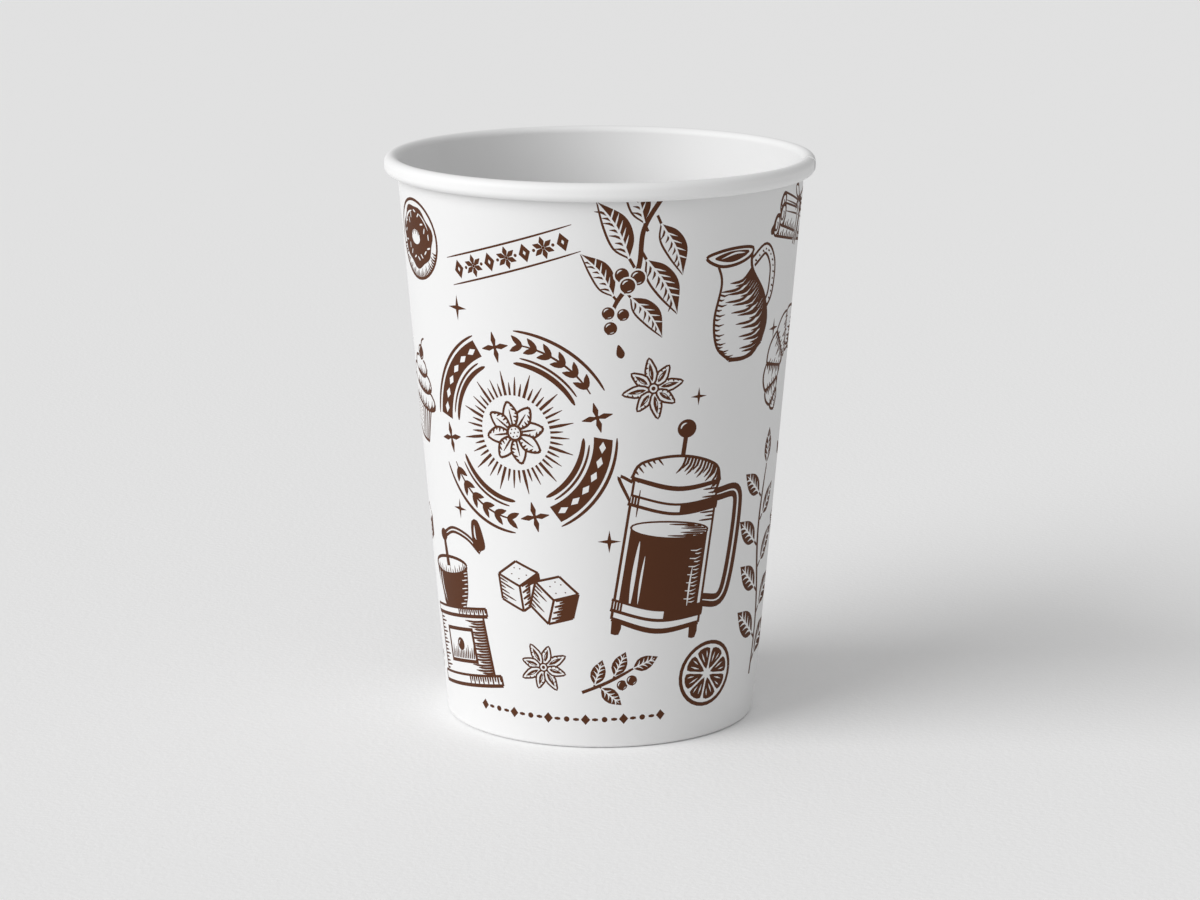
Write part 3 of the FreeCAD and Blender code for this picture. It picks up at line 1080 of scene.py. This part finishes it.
def twig():
    """Short twig of four dark leaves and two berries, 16 mm wide."""
    shapes = stroke(spline(((-6, -2.4), (-1, -0.8), (4.5, 1.4))), 0.6, (1, 0.4))
    for x, y, tilt in ((-3.4, -1.0, 68), (0.6, 0.4, 60), (-2.2, -1.8, -48), (4.4, 1.4, 16)):
        shapes += moved(dark_leaf(5.4, 2.9), (x, y), tilt)
    for x, y in ((1.9, -1.7), (3.9, -1.0)):
        shapes += bare(ring((x, y), 1.3, 1.3, count=12))
        shapes += moved(cherry(1.05), (x, y))
    return shapes


def garland():
    """Row of diamonds and six-leaved flowers between two fine lines, 36 mm long."""
    shapes = []
    for y in (-3.3, 3.3):
        shapes += stroke(spline(((-18, y), (18, y)), step=1.5), 0.4, (0.2, 0.2), swell=0.3)
    for i in range(7):
        x = -14.7 + 4.9 * i
        if i % 2 == 0:
            shapes += field([(x - 1.5, 0), (x, -2.3), (x + 1.5, 0), (x, 2.3)])
            shapes += bare([(x - 0.35, 0), (x, -0.6), (x + 0.35, 0), (x, 0.6)])
        else:
            for tilt in range(30, 390, 60):
                shapes += moved(stroke([(0.4, 0), (1.5, 0), (2.7, 0)], 1.25, (0.3, 0.05)),
                                (x, 0), tilt)
            shapes += field(ring((x, 0), 0.4, 0.4, count=8))
    for i in range(6):
        shapes += field(ring((-12.25 + 4.9 * i, 0), 0.42, 0.42, count=8))
    return shapes


def bead_row():
    """Row of beads, diamonds and dashes, 34 mm long."""
    shapes = []
    for i in range(21):
        x = -16 + 1.6 * i
        if i % 4 == 0:
            shapes += field([(x - 0.8, 0), (x, -0.95), (x + 0.8, 0), (x, 0.95)])
        elif i % 2 == 0:
            shapes += field(ring((x, 0), 0.5, 0.5, count=10))
        else:
            shapes += stroke(np.array(((x - 0.5, 0), (x, 0), (x + 0.5, 0))), 0.5, (0.5, 0.5))
    return shapes


# One side of the cup, which is printed twice round it. Each motif has its angle from the
# middle of the front in degrees, its height in mm, its tilt and its size.
MOTIFS = (
    (rosette, -27, 54, 12, 1.0),
    (cafetiere, 23, 35, -7, 0.94),
    (sprig, 10, 83, -22, 0.84),
    (garland, -27, 83.5, 17, 0.7),
    (jug, 45, 75, 14, 0.92),
    (star_anise, 16, 62, 0, 0.82),
    (hand_mill, -61, 22, 9, 0.92),
    (muffin, -75, 56, -12, 0.9),
    (doughnut, -66, 84, 0, 0.88),
    (croissant, 79, 61, 28, 0.84),
    (cinnamon, 78, 86, -14, 0.86),
    (leaf_column, 69, 27, 2, 0.93),
    (sugar, -22, 27, 0, 0.95),
    (star_anise, -20, 13.5, 20, 0.7),
    (orange_slice, 41, 11.0, 0, 0.86),
    (twig, 4, 12.0, 6, 0.86),
    (bead_row, -12, 4.6, 0, 1.0),
    (spark, -46, 74, 0, 1.1),
    (spark, -52, 39, 0, 0.9),
    (spark, 31, 60, 0, 0.8),
    (spark, 3, 36, 0, 1.0),
    (drop, -45, 33, 20, 0.9),
    (drop, 58, 86, -30, 0.8),
    (drop, 6, 68, 15, 0.8),
    (spark, 91, 43, 0, 1.0),
    (drop, 83, 46, 25, 0.9),
    (sugar, 92, 34, 12, 0.72),
    (star_anise, 92, 9, 5, 0.56),
    (drop, -88, 74, 20, 0.9),
    (spark, 64, 69, 0, 0.9),
)
# The middles of the two sides, and of what laps over at the ends of the blank
SIDES = (90, 270, 450)


# Side wall
# One sheet of coated board, printed in one brown on its outer side, lapped at one side, rolled
# outwards into the rim and folded up inside the foot round the base's skirt.
seam_angle = 0.0
seam_lap = 7.0
seam_ramp = 2.6
middle_radius = wall_radius(cup_height / 2)
lap_angle = seam_lap / middle_radius
ramp_angle = seam_ramp / middle_radius
first_angle = seam_angle - lap_angle / 2
last_angle = seam_angle + lap_angle / 2 + 2 * math.pi
under_end = first_angle + lap_angle
ramp_end = last_angle - lap_angle
fold_width = (base_board + 2 * seal_gap) / math.cos(lean)
crease_radius = 0.06
foot_tilt = math.radians(26)
roll_side_flat = 0.7
tuck_radius = 0.75
tuck_angle = math.radians(58)
hem_end_gap = 0.2
hem_end = corner_height - hem_end_gap

# The section goes down the hem, through the fold at the foot, up the wall and over the rim. The
# cup stands on the hem's crease, and the fold rises from there, so that a thin dark gap shows
# under its outer edge.
hem_crease = math.pi - up_the_wall + foot_tilt
wall_crease = up_the_wall - foot_tilt
hem_trim = crease_radius * math.tan(hem_crease / 2)
wall_trim = crease_radius * math.tan(wall_crease / 2)
hem_foot = (wall_board + crease_radius * (1 - math.cos(foot_tilt))
            - hem_trim * math.sin(foot_tilt))
fold_length = fold_width / (math.cos(foot_tilt) - math.sin(foot_tilt) * math.tan(lean))
wall_foot = hem_foot + fold_length * math.sin(foot_tilt)
wall_section = Section(wall_radius(hem_end) - fold_width, hem_end, up_the_wall - math.pi)
wall_section.straight((hem_end - hem_foot) / math.cos(lean) - hem_trim, rows=(2, 4))
hem_length = wall_section.lengths()[-1]
wall_section.bend(hem_crease, crease_radius, math.radians(18))
wall_section.straight(fold_length - hem_trim - wall_trim)
wall_section.bend(wall_crease, crease_radius, math.radians(18))
foot_length = wall_section.lengths()[-1]
print_start, print_end = 0.3, 94.4
wall_rows = (0.8, 1.6, 2.4, 3.2, 4.0, 5.0, 6.0, *range(13, 86, 12), 91, 92, 93, 93.7)
wall_section.straight(
    wall_length - (wall_foot - fold_corner[1]) / math.cos(lean) - wall_trim,
    rows=(print_start, *wall_rows, print_end))
wall_section.bend(-up_the_wall, roll_radius)
wall_section.bend(-math.pi / 2, roll_radius)
wall_section.straight(roll_side_flat)
wall_section.bend(-math.pi / 2, roll_radius)
wall_section.bend(-tuck_angle, tuck_radius, math.radians(12))

# Columns of points all round, closer together where either layer of the lap bends
wall_sectors = 100
least_angle = 0.003
lengths = wall_section.lengths()
angles = np.unique(np.round(np.concatenate((
    np.linspace(first_angle, last_angle, wall_sectors + 1),
    np.linspace(ramp_end - ramp_angle, ramp_end, 9),
    np.linspace(under_end, under_end + ramp_angle / 2, 4),
)), 6))
angles = angles[np.concatenate(([True], np.diff(angles) > least_angle))]
angles[-1] = last_angle


def on_blank(line, middle_angle, middle_length):
    """A flat line laid on the fan-shaped blank, as angles round the cup and lengths up it."""
    apex = (fold_corner[0] + wall_board * math.cos(lean)) / math.sin(lean)
    x = line[:, 0]
    y = apex + middle_length + line[:, 1]
    return np.column_stack((middle_angle + np.arctan2(x, y) / math.sin(lean),
                            np.hypot(x, y) - apex))


def signed_area(line):
    after = np.roll(line, -1, axis=0)
    return np.sum(line[:, 0] * after[:, 1] - line[:, 1] * after[:, 0]) / 2


def printed_lines(low, high):
    """Every closed line of the print in the blank's own mm, in order, cut off at its edges."""
    smallest_area = 1e-4
    for make, angle, height, tilt, size in MOTIFS:
        shapes = moved(make(), (0, 0), tilt, size)
        for side in SIDES:
            for line, inked in shapes:
                line = on_blank(line, math.radians(side + angle), height / math.cos(lean))
                line[:, 0] = (line[:, 0] - angles[0]) * middle_radius
                line = np.clip(line, low, high)
                area = signed_area(line)
                if abs(area) > smallest_area:
                    yield (line if area > 0 else line[::-1]), inked


def inside(line, x, y):
    """Whether a point lies inside a closed line."""
    is_inside = False
    before = line[-1]
    for point in line:
        if (point[1] > y) != (before[1] > y):
            across = before[0] + (y - before[1]) * (point[0] - before[0]) / (point[1] - before[1])
            is_inside ^= x < across
        before = point
    return is_inside


def print_patch():
    """The printed part of the print side: corners, triangles and the triangles' finishes."""
    margin = 0.05
    weld_distance = 5e-4
    across = (angles - angles[0]) * middle_radius
    from_foot = lengths - foot_length
    up = from_foot[(from_foot > print_start - 1e-6) & (from_foot < print_end + 1e-6)]
    corners = [(a, t) for a in across for t in up]
    rows = len(up)
    edges = [(i * rows + j, i * rows + j + 1)
             for i in range(len(across)) for j in range(rows - 1)]
    edges += [(i * rows + j, (i + 1) * rows + j)
              for i in range(len(across) - 1) for j in range(rows)]
    faces = []
    lines = []
    inks = []
    low = np.array((across[0], up[0])) + margin
    high = np.array((across[-1], up[-1])) - margin
    for line, inked in printed_lines(low, high):
        faces.append(tuple(range(len(corners), len(corners) + len(line))))
        corners += line.tolist()
        lines.append(line.tolist())
        inks.append(inked)
    points, _, triangles, _, _, layers = delaunay_2d_cdt(
        [Vector(corner) for corner in corners], edges, faces, 0, weld_distance, True)
    finishes = []
    for triangle, under in zip(triangles, layers):
        x, y = sum((points[index] for index in triangle), Vector((0, 0))) / 3
        top = next((k for k in sorted(under, reverse=True) if inside(lines[k], x, y)), None)
        finishes.append(Blank.INKED if top is not None and inks[top] else Blank.BARE)
    placed = [(angles[0] + point[0] / middle_radius, foot_length + point[1], wall_board)
              for point in points]
    return placed, [tuple(triangle) for triangle in triangles], Blank.PRINT_SIDE, finishes


def pressed_board_material():
    """Bare board with the upright ribs of the toothed rollers that press the hem on the skirt."""
    rib_count = 150
    rib_depth = 0.04 * MM
    material, tree, shader = plain_material("pressed_board", *bare_look)
    place = node(tree, "ShaderNodeTexCoord").outputs["Object"]
    parts = node(tree, "ShaderNodeSeparateXYZ", {0: place}).outputs
    bearing = node(tree, "ShaderNodeMath", {0: parts["Y"], 1: parts["X"]},
                   operation="ARCTAN2").outputs[0]
    turns = node(tree, "ShaderNodeMath", {0: bearing, 1: rib_count},
                 operation="MULTIPLY").outputs[0]
    ribs = node(tree, "ShaderNodeMath", {0: turns}, operation="SINE").outputs[0]
    ribbed = node(tree, "ShaderNodeBump", {"Height": ribs, "Distance": rib_depth})
    tree.links.new(ribbed.outputs[0], shader.inputs["Normal"])
    return material


wall_blank = Blank(angles, lengths, wall_board)
wall_blank.add_coated_side()
wall_blank.add_start_edge()
wall_blank.add_end_edge()
wall_blank.add_seam_edges()
wall_blank.add(*print_patch())
on_hem = lengths < hem_length + 1e-6
under_print = (lengths > hem_length - 1e-6) & (lengths < foot_length + print_start + 1e-6)
wall_blank.add_print_side(lengths[on_hem], Blank.PRESSED)
wall_blank.add_print_side(lengths[under_print])
wall_blank.add_print_side(lengths[lengths > foot_length + print_end - 1e-6])

# Each layer of the lap is pressed a little on the wall, and to half a board in foot and roll.
wall = wrapped_piece("sidewall_board", wall_blank, wall_section, {
    "Under End": under_end, "Under Ease": ramp_angle / 2,
    "Ramp Start": ramp_end - ramp_angle, "Ramp End": ramp_end,
    "Board": wall_board * MM, "Seal": 0.01 * MM, "Wall Share": 0.91, "Crimp Share": 0.48,
    "Foot Start": (foot_length + 0.8) * MM, "Foot End": (foot_length + 6) * MM,
    "Rim Start": (foot_length + 91) * MM, "Rim End": (foot_length + 95) * MM,
    "Bare": bare_material, "Inked": ink_material, "Coated": coated_material,
    "Pressed": pressed_board_material()})
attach(wall, "root")
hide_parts("sidewall")


# Light
# A wide soft lamp far off to the left and a little in front, like a big window, and white walls
# all round for the rest. The cup throws one soft shadow to the right.
lamp_bearing = math.radians(209)
lamp_height = math.radians(29)
lamp_distance = 3.0
lamp_data = bpy.data.lights.new("window", "SUN")
lamp_data.angle = math.radians(48)
lamp_data.energy = 2.18
lamp = new_object("window", lamp_data)
to_lamp = Vector((math.cos(lamp_height) * math.cos(lamp_bearing),
                  math.cos(lamp_height) * math.sin(lamp_bearing), math.sin(lamp_height)))
lamp.location = look_at + to_lamp * lamp_distance
lamp.rotation_euler = to_lamp.to_track_quat("Z", "Y").to_euler()
world = bpy.data.worlds.new("room")
scene.world = world
world.use_nodes = True
room = world.node_tree.nodes["Background"]
room.inputs["Color"].default_value = (1, 1, 1, 1)
room.inputs["Strength"].default_value = 0.49
scene.view_settings.view_transform = "Standard"
